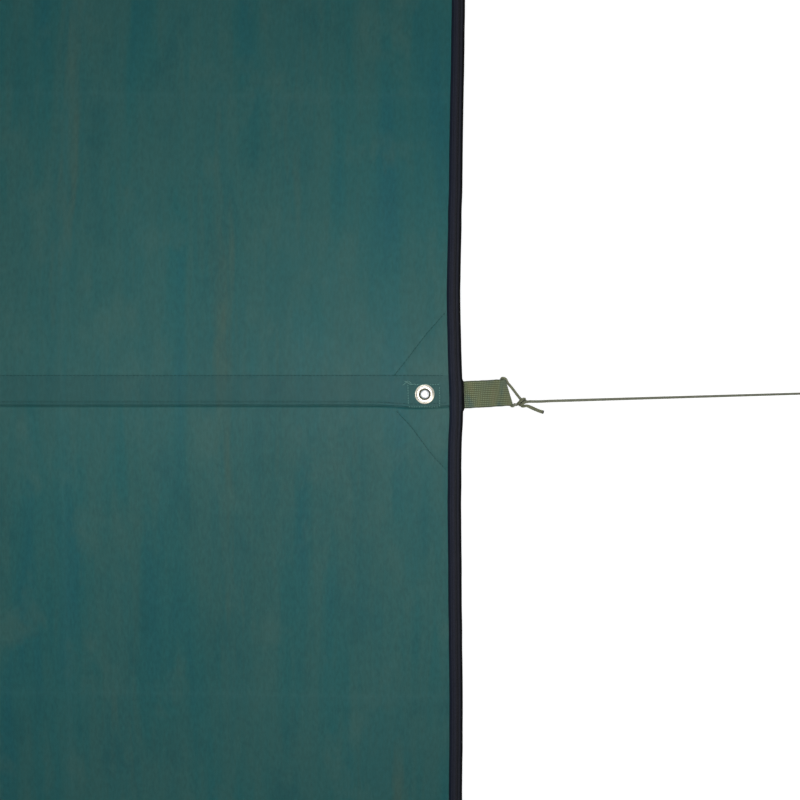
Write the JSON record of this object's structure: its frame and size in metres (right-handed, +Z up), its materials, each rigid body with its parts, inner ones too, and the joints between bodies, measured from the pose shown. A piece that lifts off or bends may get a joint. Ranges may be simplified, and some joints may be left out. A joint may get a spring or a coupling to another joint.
{
  "type": "screen house",
  "caption": "Pitched fabric roof on sectional steel poles, with netting walls, a zipped door and guy lines pegged to the ground.",
  "frame": {"origin": "on the ground under the middle of the roof", "axes": "+X along the ridge, +Y away from the door side, +Z up"},
  "size_m": [6.5274, 4.2562, 2.218],
  "materials": {
    "roof_fabric": "coated polyester taffeta, deep teal green, faint sheen, soft wrinkles",
    "edge_tape": "dark navy ribbed binding tape, matte",
    "webbing": "olive ribbed polypropylene webbing",
    "guy_cord": "olive braided cord",
    "netting": "dark fine insect mesh, see-through",
    "grommet_metal": "nickel-plated, bright, slightly warm",
    "pole_steel": "satin zinc-plated steel tube",
    "peg_steel": "galvanised wire",
    "runner_plastic": "moulded black plastic",
    "zip_tape": "woven zip tape with moulded coil",
    "zip_metal": "die-cast slider, satin",
    "toggle_plastic": "moulded dark plastic"
  },
  "bodies": {
    "house": {"roof_panel_back": "roof_fabric", "roof_panel_front": "roof_fabric", "grommet_ridge_right": "grommet_metal", "guy_loop_ridge_right": "webbing", "pole_lower_ridge_right": "pole_steel", "pole_upper_ridge_right": "pole_steel", "guy_line_ridge_right": "guy_cord", "peg_ridge_right": "peg_steel", "grommet_ridge_left": "grommet_metal", "guy_loop_ridge_left": "webbing", "pole_lower_ridge_left": "pole_steel", "pole_upper_ridge_left": "pole_steel", "guy_line_ridge_left": "guy_cord", "peg_ridge_left": "peg_steel", "grommet_front_right": "grommet_metal", "guy_loop_front_right": "webbing", "pole_lower_front_right": "pole_steel", "pole_upper_front_right": "pole_steel", "guy_line_front_right": "guy_cord", "peg_front_right": "peg_steel", "grommet_front_left": "grommet_metal", "guy_loop_front_left": "webbing", "pole_lower_front_left": "pole_steel", "pole_upper_front_left": "pole_steel", "guy_line_front_left": "guy_cord", "peg_front_left": "peg_steel", "grommet_back_right": "grommet_metal", "guy_loop_back_right": "webbing", "pole_lower_back_right": "pole_steel", "pole_upper_back_right": "pole_steel", "guy_line_back_right": "guy_cord", "peg_back_right": "peg_steel", "grommet_back_left": "grommet_metal", "guy_loop_back_left": "webbing", "pole_lower_back_left": "pole_steel", "pole_upper_back_left": "pole_steel", "guy_line_back_left": "guy_cord", "peg_back_left": "peg_steel", "edge_tape_right": "edge_tape", "ridge_patch_right": "roof_fabric", "wall_right": "netting", "edge_tape_left": "edge_tape", "ridge_patch_left": "roof_fabric", "wall_left": "netting", "edge_tape_front": "edge_tape", "wall_front": "netting", "edge_tape_back": "edge_tape", "wall_back": "netting", "door_zip_track": "zip_tape", "door_toggle_top": "toggle_plastic", "door_toggle_bottom": "toggle_plastic"},
    "door": {"door_panel": "netting"},
    "zip_slider": {"door_zip_slider": "zip_metal"},
    "zip_pull": {"door_zip_pull": "zip_metal"},
    "runner_ridge_right": {"line_runner_ridge_right": "runner_plastic"},
    "runner_ridge_left": {"line_runner_ridge_left": "runner_plastic"},
    "runner_front_right": {"line_runner_front_right": "runner_plastic"},
    "runner_front_left": {"line_runner_front_left": "runner_plastic"},
    "runner_back_right": {"line_runner_back_right": "runner_plastic"},
    "runner_back_left": {"line_runner_back_left": "runner_plastic"}
  },
  "joints": [
    {"name": "door_swing", "type": "hinge", "parent": "house", "child": "door", "pos_m": [-0.4, -1.3626, 0.945], "axis": [0, 0, -1], "range_deg": [0, 150]},
    {"name": "zip_slide", "type": "slide", "parent": "house", "child": "zip_slider", "axis": [0, 0, -1], "range_m": [0, 1.74]},
    {"name": "zip_pull_swing", "type": "hinge", "parent": "zip_slider", "child": "zip_pull", "pos_m": [0.4021, -1.3708, 1.815], "axis": [-1, 0, 0], "range_deg": [0, 170]},
    {"name": "runner_slide_ridge_right", "type": "slide", "parent": "house", "child": "runner_ridge_right", "axis": [0.559, 0.0146, -0.829], "range_m": [0, 0.18]},
    {"name": "runner_slide_ridge_left", "type": "slide", "parent": "house", "child": "runner_ridge_left", "axis": [-0.559, -0.0146, -0.829], "range_m": [0, 0.18]},
    {"name": "runner_slide_front_right", "type": "slide", "parent": "house", "child": "runner_front_right", "axis": [0.3536, -0.3536, -0.866], "range_m": [0, 0.18]},
    {"name": "runner_slide_front_left", "type": "slide", "parent": "house", "child": "runner_front_left", "axis": [-0.3536, -0.3536, -0.866], "range_m": [0, 0.18]},
    {"name": "runner_slide_back_right", "type": "slide", "parent": "house", "child": "runner_back_right", "axis": [0.3536, 0.3536, -0.866], "range_m": [0, 0.18]},
    {"name": "runner_slide_back_left", "type": "slide", "parent": "house", "child": "runner_back_left", "axis": [-0.3536, 0.3536, -0.866], "range_m": [0, 0.18]}
  ]
}
